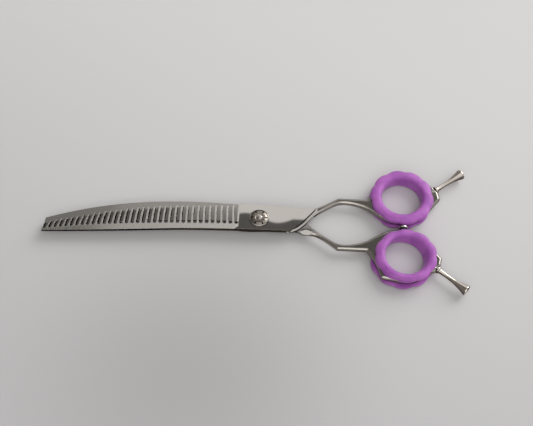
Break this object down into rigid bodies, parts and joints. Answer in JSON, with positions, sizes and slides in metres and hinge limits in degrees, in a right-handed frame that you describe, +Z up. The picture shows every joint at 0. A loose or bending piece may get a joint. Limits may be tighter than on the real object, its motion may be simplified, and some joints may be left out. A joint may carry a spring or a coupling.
{
  "type": "curved thinning shears",
  "caption": "Curved thinning shears with a comb blade over a plain blade, a tension dial, soft lobed ring inserts, screw-in finger rests and a bumper between the rings.",
  "frame": {"origin": "middle of the footprint of the closed shears, on the surface they lie on", "axes": "+X from the blade tips towards the finger rings, +Y from the cutting half's ring towards the comb half's ring, +Z up out of the surface on the side of the comb blade and the tension dial"},
  "size_m": [0.1932, 0.0648, 0.0072],
  "materials": {
    "blade_steel": "hand-polished stainless steel",
    "insert_silicone": "satin silicone",
    "tang_steel": "polished stainless steel",
    "bumper_rubber": "matt",
    "pivot_steel": "turned steel",
    "bearing_nylon": "natural nylon",
    "spring_steel": "blued spring steel",
    "dial_chrome": "bright plating",
    "crystal_glass": "cut and polished"
  },
  "bodies": {
    "cutting_half": {"cutting_blade_half": "blade_steel", "lower_finger_insert": "insert_silicone", "lower_tang": "tang_steel", "pivot_stud": "pivot_steel", "slip_washer": "bearing_nylon", "disc_spring": "spring_steel", "click_ring": "spring_steel"},
    "comb_half": {"comb_blade_half": "blade_steel", "upper_finger_insert": "insert_silicone", "upper_tang": "tang_steel", "bumper_cup": "tang_steel", "bumper_pad": "bumper_rubber", "pivot_sleeve": "bearing_nylon", "dial_bezel": "dial_chrome"},
    "dial": {"tension_dial": "dial_chrome", "dial_crystal": "crystal_glass"}
  },
  "joints": [
    {"name": "blade_pivot", "type": "hinge", "parent": "cutting_half", "child": "comb_half", "pos_m": [0.00198, 0, 0.0036], "axis": [0, 0, 1], "range_deg": [0, 95]},
    {"name": "dial_turn", "type": "hinge", "parent": "cutting_half", "child": "dial", "pos_m": [0.00198, 0, 0.0036], "axis": [0, 0, 1], "range_deg": [-54, 54]}
  ]
}
